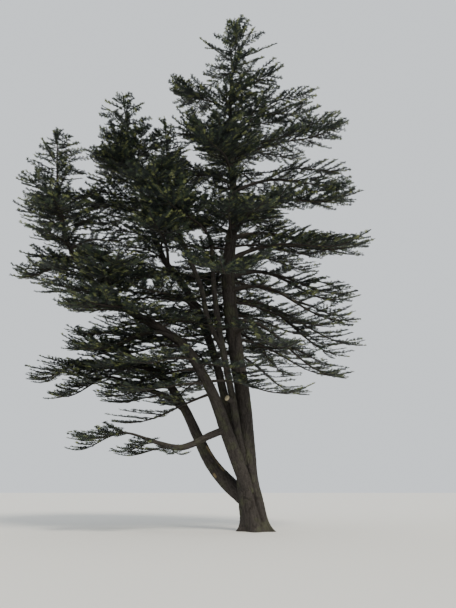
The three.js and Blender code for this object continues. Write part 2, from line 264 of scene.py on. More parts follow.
def mixed(material, factor, first, second):
    """A colour between two by a factor. The Mix node's sockets share their names, and its factor and two
    colours are the first, seventh and eighth."""
    mix = add_node(material, "ShaderNodeMix", {0: factor, 6: first, 7: second}, data_type="RGBA")
    return mix.outputs[2]


# Furrowed cedar bark: dull, dry cork, grey-brown on its plates, with painted shade that darkens its furrows
# towards near black, and a thin green film of algae in patches. Grain is 14 mm across and 70 mm long, patches
# about 0.6 m. Along a strip of the low limb and in a small patch below it, the colour is blended to a pale
# brown.
bark, bark_shader = new_material("furrowed_cedar_bark")
furrow_place = add_node(bark, "ShaderNodeAttribute", {}, attribute_name="furrow")
limb_place = add_node(bark, "ShaderNodeAttribute", {}, attribute_name="straight")
grain_place = add_node(bark, "ShaderNodeMapping",
                       {"Vector": limb_place.outputs["Vector"], "Scale": (1 / 0.014, 1 / 0.014, 1 / 0.07)})
grain = add_node(bark, "ShaderNodeTexNoise",
                 {"Vector": grain_place.outputs["Vector"], "Scale": 1.0, "Detail": 4.0, "Roughness": 0.6})
patches = add_node(bark, "ShaderNodeTexNoise", {
    "Vector": limb_place.outputs["Vector"], "Scale": 1 / 0.6, "Detail": 3.0, "Roughness": 0.55,
})
plate_colour = colour_steps(bark, grain.outputs["Fac"],
                            [(0.3, "#242120"), (0.5, "#36322f"), (0.72, "#4b4642")])
algae = add_node(bark, "ShaderNodeMapRange",
                 {"Value": patches.outputs["Fac"], "From Min": 0.5, "From Max": 0.7, "To Max": 0.5})
greened = mixed(bark, algae.outputs["Result"], plate_colour, linear("#4a5036"))
# Painted shade: the colour is darkened towards near black by how deep in a furrow each point lies.
painted_shade = add_node(bark, "ShaderNodeMath", {0: furrow_place.outputs["Fac"], 1: 0.6}, operation="MULTIPLY")
with_painted_furrow_shade = mixed(bark, painted_shade.outputs["Value"], greened, linear("#1e1a17"))
# Pale marks: a strip along the low limb and a small patch below it are blended to a pale brown.
pale_mark_place = add_node(bark, "ShaderNodeAttribute", {}, attribute_name="paleness")
with_pale_marks = mixed(bark, pale_mark_place.outputs["Fac"], with_painted_furrow_shade, linear("#76694f"))
bark_bump = add_node(bark, "ShaderNodeBump",
                     {"Height": grain.outputs["Fac"], "Strength": 0.7, "Distance": 0.012})
feed(bark, bark_shader, {
    "Base Color": with_pale_marks, "Normal": bark_bump.outputs["Normal"], "Roughness": 0.92,
    "Specular IOR Level": 0.25,
})


def trunk_radius(radius, path, turn):
    """Radius round the trunk: it flares by a falling exponential of the height, ribbed by a cosine of five
    turns. Shallow flutes are a cosine of nine turns, the two stems pinch it by a cosine of two turns, and the
    groove between them is a bell-shaped dip that wanders round with the height."""
    height = path[..., 2]
    flare = np.exp(-height / FLARE_HEIGHT)
    ribs = 1 + RIB_DEPTH * flare * np.cos(ROOT_RIBS * turn + 0.6)
    flutes = 1 + FLUTE_DEPTH * np.exp(-height / FLUTE_HEIGHT) * np.cos(FLUTES * turn + 1.3 * height)
    fused = 1 + FUSED_DEPTH * np.exp(-height / FUSED_HEIGHT) * np.cos(2 * turn - 0.9)
    groove_turn = np.radians(np.interp(height, GROOVE_HEIGHTS, GROOVE_TURNS))
    off = np.degrees(np.angle(np.exp(1j * (turn - groove_turn))))
    fading = np.clip((GROOVE_HEIGHTS[-1] - height) / GROOVE_FADE, 0, 1) * np.clip(height / 0.5, 0.3, 1)
    groove = GROOVE_DEPTH * fading * np.exp(-(off / GROOVE_HALF_TURN) ** 2)
    return (radius + FLARE_SPREAD * flare) * ribs * fused * flutes - groove


trunk_shares = np.concatenate((
    np.linspace(0, FLARE_SHARE, FLARE_RINGS, endpoint=False),
    np.linspace(FLARE_SHARE, 1, UPPER_RINGS),
))
trunk = bark_tube("trunk_bark", TRUNK_ROUTE, trunk_shares, TRUNK_SEGMENTS, trunk_radius, True, BARK_PLATE,
                  FURROW_DEPTH, bark)
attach(trunk, "root")
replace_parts(trunk, "trunk")

# Rising limbs
# The trunk divides low down into limbs as long as most trees, each one a tapering stem of the same wood and
# bark. They swell where they leave the trunk, sweep out to the left and turn up into heads of their own.
LIMB_ROUTES = {
    # x, y and z of each station, and the radius there
    "left_limb": [
        [-0.23, -0.18, 1.5, 0.3], [-0.72, -0.42, 2.7, 0.27], [-1.22, -0.58, 4, 0.255],
        [-1.72, -0.65, 5.35, 0.245], [-2.32, -0.7, 6.5, 0.232], [-3.05, -0.72, 7.62, 0.214],
        [-4.12, -0.74, 8.42, 0.19], [-5.4, -0.78, 9.15, 0.165],
    ],
    "left_limb_head": [
        [-5.35, -0.779, 9.12, 0.155], [-6.95, -0.81, 10.25, 0.142], [-8.3, -0.82, 12, 0.122],
        [-9.05, -0.82, 13.9, 0.094], [-9.3, -0.82, 15.4, 0.074],
    ],
    "inner_limb": [
        [-0.52, 0.26, 2.7, 0.23], [-0.88, 0.52, 4, 0.215], [-1.3, 0.76, 5.6, 0.2], [-1.72, 0.88, 7.3, 0.188],
        [-2.3, 0.95, 9.05, 0.176], [-3.1, 0.98, 10.75, 0.165], [-4.3, 1, 12.4, 0.15],
    ],
    "inner_limb_head": [
        [-4.27, 0.999, 12.36, 0.142], [-5.08, 1.01, 14.4, 0.12], [-5.75, 1.01, 16.7, 0.09],
        [-6.2, 1.01, 18.1, 0.072],
    ],
    "low_limb": [
        [-0.3, 0.26, 1.15, 0.33], [-1.15, 0.52, 1.92, 0.33], [-1.9, 0.7, 2.78, 0.262],
        [-2.5, 0.8, 3.9, 0.222], [-3.05, 0.84, 5, 0.206], [-3.75, 0.85, 6.08, 0.19],
        [-4.54, 0.86, 6.86, 0.172],
    ],
    "low_limb_end": [
        [-4.5, 0.859, 6.83, 0.16], [-5.3, 0.9, 7.13, 0.146], [-6.2, 0.96, 7.06, 0.128],
        [-7.1, 1.02, 7.15, 0.104],
    ],
    "low_limb_fork": [
        [-3.15, 0.83, 5.1, 0.138], [-3.95, 0.64, 5.64, 0.128], [-4.8, 0.52, 5.95, 0.112],
        [-5.7, 0.42, 6.24, 0.088],
    ],
    "sweeping_limb": [
        [-1.25, -0.6, 4.06, 0.15], [-1.95, -0.95, 3.76, 0.134], [-2.6, -1.15, 3.42, 0.126],
        [-3.2, -1.25, 3.27, 0.116], [-3.9, -1.33, 3.42, 0.092], [-4.5, -1.38, 3.62, 0.066],
    ],
    "slender_limb": [
        [-0.45, -0.22, 2.6, 0.17], [-0.7, -0.4, 3.8, 0.16], [-0.96, -0.52, 5.4, 0.152],
        [-1.3, -0.6, 7.1, 0.148], [-1.6, -0.64, 8.8, 0.128], [-1.8, -0.66, 10.6, 0.108],
        [-1.92, -0.68, 12.7, 0.078],
    ],
    "slender_limb_fork": [
        [-1.38, -0.61, 7.5, 0.112], [-2.05, -0.78, 8.9, 0.108], [-2.35, -0.86, 10.3, 0.1],
        [-2.95, -0.94, 11.8, 0.092], [-3.65, -1, 13.7, 0.076], [-3.98, -1.02, 15.6, 0.062],
    ],
}
RING_STEP = 0.055
LIMB_SEGMENTS = 44
LIMB_PLATE = 0.75 * BARK_PLATE
LIMB_FURROW_DEPTH = 0.012


def limb_radius(radius, path, turn):
    """Radius round a limb: out of round by a cosine of two turns and a cosine of three."""
    height = path[..., 2]
    return radius * (1 + 0.05 * np.cos(2 * turn + height) + 0.03 * np.cos(3 * turn - 0.7 * height))


for name, route in LIMB_ROUTES.items():
    span = np.linalg.norm(np.diff(np.asarray(route)[:, :3], axis=0), axis=1).sum()
    limb_shares = np.linspace(0, 1, int(span / RING_STEP))
    limb = bark_tube(name + "_bark", route, limb_shares, LIMB_SEGMENTS, limb_radius, False, LIMB_PLATE,
                     LIMB_FURROW_DEPTH, bark)
    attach(limb, "root")
    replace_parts(limb, name)

# Sawn stub
# A dead branch of the slender limb was sawn off, and its stub stands out to the left at the front. Its cut
# face is pale, dry wood with growth rings about 6 mm apart.
STUB_FOOT = (-0.98, -0.54, 5.28)
STUB_TIP = (-1.19, -0.82, 5.36)
STUB_RADIUS = 0.12
STUB_SWELLING = 0.25
STUB_ROUGHNESS = 0.012
STUB_RINGS = 12
STUB_SEGMENTS = 36
GROWTH_RING = 0.006

stub_shares = np.linspace(0, 1, STUB_RINGS)
stub_path = np.add(STUB_FOOT, np.subtract(STUB_TIP, STUB_FOOT) * stub_shares[:, None])
stub_side, stub_front = ring_frames(stub_path, False)
stub_turn = np.linspace(0, 2 * math.pi, STUB_SEGMENTS, endpoint=False)[:, None]
swelling = STUB_RADIUS * (1 + STUB_SWELLING * np.exp(-4 * stub_shares))
stub_walls = stub_path[:, None] + swelling[:, None, None] * (
    stub_side[:, None] * np.sin(stub_turn) + stub_front[:, None] * np.cos(stub_turn)
)
stub_walls += STUB_ROUGHNESS * noise(stub_walls / 0.04, 17)[..., None] * unit(stub_walls - stub_path[:, None])
stub_points = np.vstack((stub_walls.reshape(-1, 3), stub_path[[0, -1]]))
stub = new_piece("sawn_stub", stub_points, tube_faces(STUB_RINGS, STUB_SEGMENTS), bark)
sawn_wood, sawn_shader = new_material("sawn_cedar_wood")
sawn_place = add_node(sawn_wood, "ShaderNodeTexCoord", {})
from_pith = add_node(sawn_wood, "ShaderNodeVectorMath", {0: sawn_place.outputs["Object"], 1: STUB_TIP},
                     operation="DISTANCE")
ring_turns = add_node(sawn_wood, "ShaderNodeMath",
                      {0: from_pith.outputs["Value"], 1: 2 * math.pi / GROWTH_RING}, operation="MULTIPLY")
ring_wave = add_node(sawn_wood, "ShaderNodeMath", {0: ring_turns.outputs["Value"]}, operation="SINE")
ring_shade = add_node(sawn_wood, "ShaderNodeMapRange",
                      {"Value": ring_wave.outputs["Value"], "From Min": -1.0})
ring_colour = mixed(sawn_wood, ring_shade.outputs["Result"], linear("#a3967a"), linear("#c4b899"))
feed(sawn_wood, sawn_shader, {"Base Color": ring_colour, "Roughness": 0.85})
stub.data.materials.append(sawn_wood)
stub_faces = np.arange(len(stub.data.polygons))
cut_faces = stub_faces >= len(stub_faces) - STUB_SEGMENTS
stub.data.polygons.foreach_set("material_index", cut_faces.astype(np.int32))
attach(stub, "root")

# Boughs
# Each tier of foliage hangs on one bough, a slim tapering branch that leaves the trunk or a limb, bows up,
# dips and lifts at its tip. On the four heads the limb itself runs on as a nearly upright spire.
TIERS = [
    # tier, its limb, how high it starts (None at the limb's tip), bearing in degrees, reach and rise
    ["right_tier_01", "trunk", 9, -16, 5, -2.9],
    ["right_tier_02", "trunk", 9.9, 20, 6.2, -2.1],
    ["right_tier_03", "trunk", 10.4, -14, 5.9, -1.7],
    ["right_tier_04", "trunk", 11.1, 12, 6.6, -0.4],
    ["right_tier_05", "trunk", 12, -12, 6.8, 0.5],
    ["right_tier_06", "trunk", 13.1, 18, 6.5, 0.6],
    ["right_tier_07", "trunk", 14.3, -14, 6.2, 0.6],
    ["right_tier_08", "trunk", 15.6, 14, 6.3, 1.4],
    ["right_tier_09", "trunk", 17.2, -12, 5.8, 1.7],
    ["right_tier_10", "trunk", 19, 10, 4.8, 2.1],
    ["front_tier_01", "trunk", 8.3, 300, 4.8, -1.3],
    ["front_tier_02", "trunk", 10.6, 266, 5.2, -0.5],
    ["front_tier_03", "trunk", 13.2, 296, 5.3, 0.2],
    ["front_tier_04", "trunk", 16.2, 262, 4.6, 0.7],
    ["back_tier_01", "trunk", 9.2, 64, 5.4, -1.4],
    ["back_tier_02", "trunk", 12, 106, 5.4, 0],
    ["back_tier_03", "trunk", 15, 70, 5.2, 0.8],
    ["back_tier_04", "trunk", 18.4, 100, 3.8, 1.3],
    ["upper_left_tier_01", "trunk", 16, 168, 3.4, 1.3],
    ["upper_left_tier_02", "trunk", 17.9, 202, 3.2, 1.2],
    ["upper_left_tier_03", "trunk", 20.2, 172, 3.3, 1.8],
    ["upper_right_tier", "trunk", 20.8, -20, 2.9, 1.6],
    ["crown_spire", "trunk", None, 0, 0.45, 4.28],
    ["inner_head_spire", "inner_limb_head", None, 180, 0.68, 4.08],
    ["inner_head_left_01", "inner_limb_head", 17.2, 184, 2.1, 0.9],
    ["inner_head_left_02", "inner_limb_head", 14.8, 192, 3.8, 0.6],
    ["inner_head_front", "inner_limb_head", 16.2, 246, 3.6, 0.6],
    ["inner_head_back", "inner_limb_head", 15.6, 76, 4, 1],
    ["inner_head_right", "inner_limb_head", 14.2, -30, 3.2, 1],
    ["inner_limb_left", "inner_limb", 11.6, 160, 4.8, 0.3],
    ["inner_limb_front", "inner_limb", 9.7, 238, 5.2, 0.1],
    ["inner_limb_upper", "inner_limb", 12.1, 266, 5, 0.6],
    ["inner_limb_back", "inner_limb", 10.2, 98, 4.8, 0.2],
    ["left_head_spire", "left_limb_head", None, 180, 0.3, 3.35],
    ["left_head_left", "left_limb_head", 14.4, 186, 1.4, 0.7],
    ["left_head_front", "left_limb_head", 12.9, 276, 4, 0.4],
    ["left_head_back", "left_limb_head", 12.4, 80, 4.2, 0.6],
    ["left_head_right", "left_limb_head", 12.2, -14, 3, 0.3],
    ["left_limb_low", "left_limb", 7.9, 204, 4.6, -0.6],
    ["left_limb_front", "left_limb", 8.7, 236, 4.8, 0.2],
    ["left_limb_upper", "left_limb_head", 9.9, 286, 4.6, 0.5],
    ["left_head_low", "left_limb_head", 11.1, 198, 3.2, -0.5],
    ["slender_limb_tier", "slender_limb", None, 240, 4.4, 0.9],
    ["slender_fork_spire", "slender_limb_fork", None, 180, 0.3, 3.6],
    ["slender_fork_front", "slender_limb_fork", 13.8, 262, 3.9, 0.6],
    ["low_limb_upper_tier", "low_limb_end", 7, 204, 4, 1.2],
    ["low_limb_end_tier", "low_limb_end", None, 178, 3.5, -0.6],
    ["low_limb_fork_tier", "low_limb_fork", None, 206, 3.5, -0.7],
    ["sweeping_limb_tier", "sweeping_limb", None, 190, 3.2, 0],
]
ROUTES = {"trunk": TRUNK_ROUTE, **LIMB_ROUTES}
UP = np.array([0, 0, 1.0])
BOUGH = np.dtype([
    ("tier", int), ("root", float, 3), ("thick", float), ("bearing", float), ("reach", float),
    ("rise", float), ("arch", float), ("dip", float), ("bow", float), ("onward", float, 3),
])
ONWARD_FADE = 9
TIP_OVERLAP = 0.04
ROUTE_POINTS = 4001
BOUGH_RINGS = 26
BOUGH_SEGMENTS = 9
BOUGH_TAPER = 0.94
TWIG_END = 0.004


def chance(seed, use):
    """The growth rule's number from 0 to 1 for a seed and a use: the fraction of a sine's large multiple."""
    value = np.sin(seed * 12.9898 + use * 78.233) * 43758.5453
    return value - np.floor(value)


def bough_root(limb, height):
    """Where a bough starts: its limb's centre at a height, or a little inside the limb's tip, with the limb's
    radius and direction there."""
    path, radius = along(ROUTES[limb], np.linspace(0, 1, ROUTE_POINTS))
    at = len(path) - 1 if height is None else np.searchsorted(path[:, 2], height)
    direction = unit(path[at] - path[at - 1])
    return path[at] - (TIP_OVERLAP if height is None else 0) * direction, radius[at], direction


def lengths(bough):
    """A bough's length, taken straight from root to tip."""
    return np.hypot(bough["reach"], bough["rise"])


def on_bough(bough, share):
    """Points on boughs: the reach and rise in proportion to the share, with a half sine of bow to the side, a
    half sine of arch upwards, a whole sine of dip, and a start that runs on from a limb's tip and fades."""
    half, whole = np.sin(math.pi * share), np.sin(2 * math.pi * share)
    ahead = np.stack((np.cos(bough["bearing"]), np.sin(bough["bearing"]), 0 * bough["bearing"]), -1)
    level = ahead * (bough["reach"] * share)[..., None]
    level += np.cross(UP, ahead) * (bough["bow"] * lengths(bough) * half)[..., None]
    lift = bough["rise"] * share + lengths(bough) * (bough["arch"] * half + bough["dip"] * whole)
    onward = bough["onward"] * (lengths(bough) * share * np.exp(-ONWARD_FADE * share))[..., None]
    return bough["root"] + level + UP * lift[..., None] + onward


tier_names = [row[0] for row in TIERS]
tiers = np.arange(len(TIERS))
spires = np.array([name.endswith("spire") for name in tier_names])
at_tip = np.array([row[2] is None for row in TIERS])
roots, root_radii, limb_directions = map(np.array, zip(*(bough_root(row[1], row[2]) for row in TIERS)))
main = np.zeros(len(TIERS), BOUGH)
main["tier"] = tiers
main["root"] = roots
main["bearing"] = np.radians([row[3] for row in TIERS])
main["reach"] = [row[4] for row in TIERS]
main["rise"] = [row[5] for row in TIERS]
slim = np.minimum(0.6 * root_radii, 0.03 + 0.016 * lengths(main))
main["thick"] = np.where(at_tip, 0.86 * root_radii, slim)
main["arch"] = np.where(spires, 0, 0.015 + 0.03 * chance(tiers, 1))
main["dip"] = np.where(spires, 0, 0.03 + 0.02 * chance(tiers, 2) + 0.035 * (main["rise"] < 0))
main["bow"] = np.where(spires, 0.02, 0.1 * (chance(tiers, 3) - 0.5))
main["onward"] = limb_directions * (at_tip & ~spires)[:, None]


def many_tubes(lines, radii, segments):
    """Points and triangles of many tubes at once: lines is tubes by rings by 3 and radii is tubes by rings. A
    ring's side is level and square to its line, and its front is square to both."""
    run = unit(np.gradient(lines, axis=1))
    steep = np.abs(run[:, :1, 2:]) > 0.9
    side = unit(np.cross(np.where(steep, [0, 1.0, 0], UP), run))
    front = np.cross(side, run)
    turn = np.linspace(0, 2 * math.pi, segments, endpoint=False)[:, None]
    spokes = side[:, :, None] * np.sin(turn) + front[:, :, None] * np.cos(turn)
    walls = lines[:, :, None] + radii[:, :, None, None] * spokes
    tubes, rings = radii.shape
    ends = lines[:, [0, -1]]
    points = np.concatenate((walls.reshape(tubes, -1, 3), ends), axis=1)
    faces = tube_faces(rings, segments)
    offsets = np.arange(tubes)[:, None, None] * points.shape[1]
    return points.reshape(-1, 3), (faces[None] + offsets).reshape(-1, 3)


# Young cedar bark: smooth, dry and grey-brown, with a fine grain of about 20 mm.
young_bark, young_shader = new_material("young_cedar_bark")
here = add_node(young_bark, "ShaderNodeTexCoord", {})
young_grain = add_node(young_bark, "ShaderNodeTexNoise",
                       {"Vector": here.outputs["Object"], "Scale": 1 / 0.02, "Detail": 3.0})
young_colour = colour_steps(young_bark, young_grain.outputs["Fac"],
                            [(0.3, "#262321"), (0.55, "#3a3531"), (0.75, "#504a44")])
young_bump = add_node(young_bark, "ShaderNodeBump",
                      {"Height": young_grain.outputs["Fac"], "Strength": 0.5, "Distance": 0.006})
feed(young_bark, young_shader, {
    "Base Color": young_colour, "Normal": young_bump.outputs["Normal"], "Roughness": 0.88,
    "Specular IOR Level": 0.25,
})


def bough_tubes(name, rows):
    """A piece of boughs. Each tapers by a power of its share, fastest at the foot, down to a twig's end, and
    smooth noise makes it up to a tenth thicker or thinner."""
    shares = np.broadcast_to(np.linspace(0, 1, BOUGH_RINGS), (len(rows), BOUGH_RINGS))
    lines = on_bough(rows[:, None], shares)
    radii = rows["thick"][:, None] * (1 - BOUGH_TAPER * shares ** 0.7) + TWIG_END
    radii = radii * (1 + 0.1 * noise(lines / 0.3, 5))
    points, faces = many_tubes(lines, radii, BOUGH_SEGMENTS)
    piece = new_piece(name, points, faces, young_bark)
    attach(piece, "root")
    return piece


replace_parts(bough_tubes("boughs", main), *tier_names)

# Lesser boughs
# Between the main boughs the limbs carry many lesser ones, set round them in a steady spiral, and each main
# bough but a spire forks twice into ones that run on beside it. They are young wood, and fill the crown
# between its tiers.
HEIGHT_WEIGHT = 2.2
SPACE_MARGIN = 0.4
LIMB_MARGIN = 0.33
LESSER_LIMB_MARGIN = 0.18
BOX_MARGIN = 0.15
CROWN_REACH = 3.6
TIER_POINTS = 9
LIMB_SPHERES = 25
BATCH = 3000
SHORTEST_BOUGH = 1
TRIED_SHARES = (0.3, 0.5, 0.75, 1)
CUT_BACK = 0.9
GOLDEN_TURN = math.radians(137.5)
FORK_SHARES = (0.25, 0.5)
FORK_TURN = 11
FORK_SPREAD = 12
TRUNK_BULGE = 8
TRUNK_LEVEL = 12
SHORT_ON_RIGHT = (13.4, 16.5)
SHORT_ON_LEFT = 14.5
SHORTENED = 0.52
SIDEWAYS = 0.3
BARE_FRONT = (7, 12.5)
BARE_FRONT_LEFT = -4.2
LIMB_BOUGHS = {
    # limb: share of its stations where they start, how many, and their longest reach
    "trunk": (0.42, 104, 5.6),
    "left_limb": (0.45, 34, 5),
    "left_limb_head": (0.03, 36, 4),
    "inner_limb": (0.5, 22, 4.6),
    "inner_limb_head": (0.03, 28, 4),
    "slender_limb": (0.6, 7, 3),
    "slender_limb_fork": (0.35, 13, 3),
    "low_limb": (0.8, 8, 3),
    "low_limb_end": (0.05, 26, 4),
    "low_limb_fork": (0.35, 14, 3.2),
    "sweeping_limb": (0.66, 8, 2.6),
}

weighted = np.array([1, 1, HEIGHT_WEIGHT])
tier_shares = np.broadcast_to(np.linspace(0, 1, TIER_POINTS), (len(TIERS), TIER_POINTS))
tier_lines = on_bough(main[:, None], tier_shares) * weighted
sphere_shares = np.linspace(0, 1, LIMB_SPHERES)
limb_spheres = np.concatenate([np.column_stack(along(route, sphere_shares)) for route in ROUTES.values()])


def line_distances(points):
    """Distances from points to every tier's bough, with heights weighted: each bough is a chain of straight
    pieces, and the nearest place on a piece is the point's share along it, held between 0 and 1."""
    start, step = tier_lines[:, :-1], np.diff(tier_lines, axis=1)
    off = (points * weighted)[:, None, None] - start
    share = np.clip((off * step).sum(-1) / (step * step).sum(-1), 0, 1)
    return np.linalg.norm(off - share[..., None] * step, axis=-1).min(-1)


def off_limbs(points):
    """How far points lie off the nearest of the spheres strung along the trunk and limbs."""
    return (np.linalg.norm(points[:, None] - limb_spheres[:, :3], axis=-1) - limb_spheres[:, 3]).min(1)


def in_own_space(points, tier):
    """Whether points lie nearer their own tier's bough than any other by a margin, and clear of the limbs."""
    apart = line_distances(points)
    row = np.arange(len(points))
    own = apart[row, tier].copy()
    apart[row, tier] = np.inf
    return (apart.min(1) >= own + SPACE_MARGIN) & (off_limbs(points) >= LIMB_MARGIN)


def within_crown(points, tier):
    """Whether points lie near enough to any tier's bough, whichever is their own, and clear of the limbs."""
    return (line_distances(points).min(1) < CROWN_REACH) & (off_limbs(points) >= LESSER_LIMB_MARGIN)


def allowed(rule, points, tier):
    """The rule's answer, worked out in batches to spare memory, for points well inside the solids' box."""
    inside = (points > np.add(cad_low, BOX_MARGIN)) & (points < np.subtract(cad_high, BOX_MARGIN))
    parts = np.array_split(np.arange(len(points)), len(points) // BATCH + 1)
    return np.concatenate([rule(points[part], tier[part]) for part in parts]) & inside.all(1)


def with_room(rows, rule, points_at, tier, shares):
    """Whether rows of boughs or arms have room: whether the rule allows their points at all these shares."""
    clear = np.ones(len(rows), bool)
    for share in shares:
        clear &= allowed(rule, points_at(rows, np.full(len(rows), share)), tier[rows])
    return clear


def shaped(rows, number):
    """Rows of boughs with their arch, dip and bow, and a part of their rise, dealt out by number. Those that
    sag do so at the foot and level out towards the tip."""
    rows["rise"] += 0.25 * rows["reach"] * (chance(number, 250) - 0.5)
    rows["arch"] = np.where(rows["rise"] < 0, -0.06, 0.02 + 0.04 * chance(number, 1))
    rows["dip"] = 0.02 + 0.03 * chance(number, 2)
    rows["bow"] = 0.1 * (chance(number, 3) - 0.5)
    return rows


def limb_boughs(limb, first, count, length):
    """Rows of boughs round a limb, each a golden turn on from the last, evenly spaced from its first share
    and shorter towards its tip. Round the trunk their length falls with the square of the height above or
    below a bulge, they sweep down below a level and rise above it, and they are short high on its left and
    halfway up on its right."""
    rows = np.zeros(count, BOUGH)
    number = np.arange(count)
    share = first + (1 - first) * (number + 0.8 * chance(number, 210)) / count
    rows["root"], radius = along(ROUTES[limb], share)
    rows["bearing"] = GOLDEN_TURN * number + len(limb)
    height = rows["root"][:, 2]
    spread = length * (1 - 0.35 * (share - first) / (1 - first))
    slope = 0.035 * (height - 9)
    if limb == "trunk":
        right = np.cos(rows["bearing"])
        envelope = np.clip(1.15 - ((height - TRUNK_BULGE) / 16) ** 2, 0.25, 1)
        short = (right > SIDEWAYS) & (height > SHORT_ON_RIGHT[0]) & (height < SHORT_ON_RIGHT[1])
        short |= (right < -SIDEWAYS) & (height > SHORT_ON_LEFT)
        spread = length * (0.8 + 0.2 * right) * envelope * np.where(short, SHORTENED, 1)
        steepness = np.where(height < TRUNK_LEVEL, 0.08, 0.045)
        slope = np.clip(steepness * (height - TRUNK_LEVEL), -0.4, 0.2)
    rows["reach"] = spread * (0.8 + 0.25 * chance(number, 220))
    rows["rise"] = rows["reach"] * slope
    rows["thick"] = np.minimum(0.45 * radius, 0.012 + 0.011 * rows["reach"])
    return shaped(rows, number)


def forks():
    """Rows of boughs that leave the main ones at the fork shares, to the left and right in turn and a little
    above or below, and run on for about the rest of their length."""
    parents = np.repeat(main[~spires], len(FORK_SHARES))
    number = np.arange(len(parents))
    share = np.tile(FORK_SHARES, len(parents) // len(FORK_SHARES))
    rows = np.zeros(len(parents), BOUGH)
    rows["root"] = on_bough(parents, share)
    side = np.where(number % 2, 1, -1)
    rows["bearing"] = parents["bearing"] + side * np.radians(FORK_TURN + FORK_SPREAD * chance(number, 230))
    rows["reach"] = parents["reach"] * (1 - share) * (0.9 + 0.15 * chance(number, 220))
    rows["rise"] = parents["rise"] * (1 - share) + side * 0.12 * rows["reach"]
    rows["thick"] = 0.75 * parents["thick"] * (1 - BOUGH_TAPER * share)
    return shaped(rows, number)


# None of them grows to the front from low on the trunk or an upright limb, where the limbs stand bare.
lesser = np.concatenate([limb_boughs(limb, *row) for limb, row in LIMB_BOUGHS.items()] + [forks()])
to_front = (np.sin(lesser["bearing"]) < -SIDEWAYS) & (lesser["root"][:, 0] > BARE_FRONT_LEFT)
low_down = (lesser["root"][:, 2] > BARE_FRONT[0]) & (lesser["root"][:, 2] < BARE_FRONT[1])
lesser = lesser[~(to_front & low_down)]


def on_lesser(rows, share):
    """Points on these rows of the lesser boughs."""
    return on_bough(lesser[rows], share)


# A bough or arm without room is cut back until it fits, or is given up.
searching = np.arange(len(lesser))
while len(searching):
    clear = with_room(searching, within_crown, on_lesser, lesser["tier"], TRIED_SHARES)
    searching = searching[~clear & (lesser["reach"][searching] >= SHORTEST_BOUGH)]
    lesser["reach"][searching] *= CUT_BACK
    lesser["rise"][searching] *= CUT_BACK
lesser = lesser[lesser["reach"] >= SHORTEST_BOUGH]
bough_tubes("lesser_boughs", lesser)

# Side arms
# Arms leave each bough to the left and right in turn, longest near its middle and swept towards its tip, and
# ring a spire. Those of the main boughs keep to their own tier's space, and those of the lesser ones lie
# flatter. Boughs that reach out to the open right side have short ones, and make slim streaks.
SPIRE_TURN = GOLDEN_TURN / 2
RIGHTWARD = 0.4
WIDEST_ON_RIGHT = 0.24
WIDEST_ON_SPIRE = 0.62
ARM_TRIED_SHARES = (0.35, 0.55, 0.75, 1)
ARM_CUT_BACK = 0.88
ARM_RINGS = 5
MAIN, LESSER, SPIRE = 0, 1, 2
# Each of these has a value for the arms of main boughs, of lesser boughs and of spires.
ARMS = np.array([25, 20, 56])
FIRST_ARM = np.array([0.16, 0.07, 0.05])
ARM_SPAN = np.array([0.76, 0.87, 0.9])
WIDEST_SPLAY = np.array([64, 54, 64])
SLOPES = np.array([0.8, 0.3, 0.8])
WIDEST = np.array([0.45, 0.38, 0.45])
SHORTEST_ARM = np.array([0.7, 0.7, 0.35])
LEAST_VIGOUR = np.array([0.85, 0.85, 0.55])
VIGOUR_RANGE = np.array([0.3, 0.3, 0.7])
ROLL_RANGE = np.array([56, 30, 90])


def dealt(each):
    """The row and the number within its row of every item, from how many each row has."""
    row = np.repeat(np.arange(len(each)), each)
    return row, np.arange(len(row)) - np.repeat(np.cumsum(each) - each, each)


boughs = np.concatenate((main, lesser))
kind = np.full(len(boughs), LESSER)
kind[:len(main)] = np.where(spires, SPIRE, MAIN)
arms_each = ARMS[kind]
arm_row, arm_number = dealt(arms_each)
arm_seed = np.where(kind == LESSER, 100 + np.arange(len(boughs)), boughs["tier"])[arm_row]
arm_tier, arm_kind = boughs["tier"][arm_row], kind[arm_row]
arm_spire = arm_kind == SPIRE
arm_place = (arm_number + 0.3 + 0.4 * chance(arm_seed, 10 + arm_number)) / arms_each[arm_row]
arm_share = FIRST_ARM[arm_kind] + ARM_SPAN[arm_kind] * arm_place
arm_side = np.where(arm_number % 2, 1, -1)
splay = WIDEST_SPLAY[arm_kind] - 34 * arm_share + 20 * (chance(arm_seed, 40 + arm_number) - 0.5)
splay = np.radians(splay)
beside = boughs["bearing"][arm_row] + arm_side * splay
round_spire = SPIRE_TURN * arm_number + arm_tier + chance(arm_seed, 160 + arm_number)
arm_bearing = np.where(arm_spire, round_spire, beside)
heading = np.stack((np.cos(arm_bearing), np.sin(arm_bearing), 0 * arm_bearing), -1)
lift = chance(arm_seed, 70 + arm_number)
slope = SLOPES[arm_kind] * (lift - 0.5) + 0.3 * (boughs["rise"] / lengths(boughs))[arm_row]
arm_level = np.where(arm_spire, 0.3 * arm_share + 0.3 * (lift - 0.4), slope)
to_right = np.cos(boughs["bearing"][arm_row]) > RIGHTWARD
widest = np.where(to_right, WIDEST_ON_RIGHT, WIDEST[arm_kind])
widest = np.minimum(widest, 0.3 + 1.2 * arm_share)
widest = np.minimum(widest, 0.7 * (1 - arm_share) / np.cos(splay))
fullest = np.where(arm_spire, WIDEST_ON_SPIRE * (1.1 - arm_share), widest)
vigour = LEAST_VIGOUR[arm_kind] + VIGOUR_RANGE[arm_kind] * chance(arm_seed, 100 + arm_number)
arm_length = lengths(boughs)[arm_row] * fullest * vigour
shortest = SHORTEST_ARM[arm_kind]
arm_roll = np.radians(ROLL_RANGE[arm_kind] * (chance(arm_seed, 130 + arm_number) - 0.5))
arm_start = on_bough(boughs[arm_row], arm_share)


def on_arm(arm, share):
    """Points on arms: straight out along the heading, and up by the level times the share with a curl that
    grows with the square of the share."""
    level, length = arm_level[arm], arm_length[arm]
    climb = level * share + (0.08 - 0.5 * level) * share ** 2
    return arm_start[arm] + heading[arm] * (length * share)[..., None] + UP * (length * climb)[..., None]


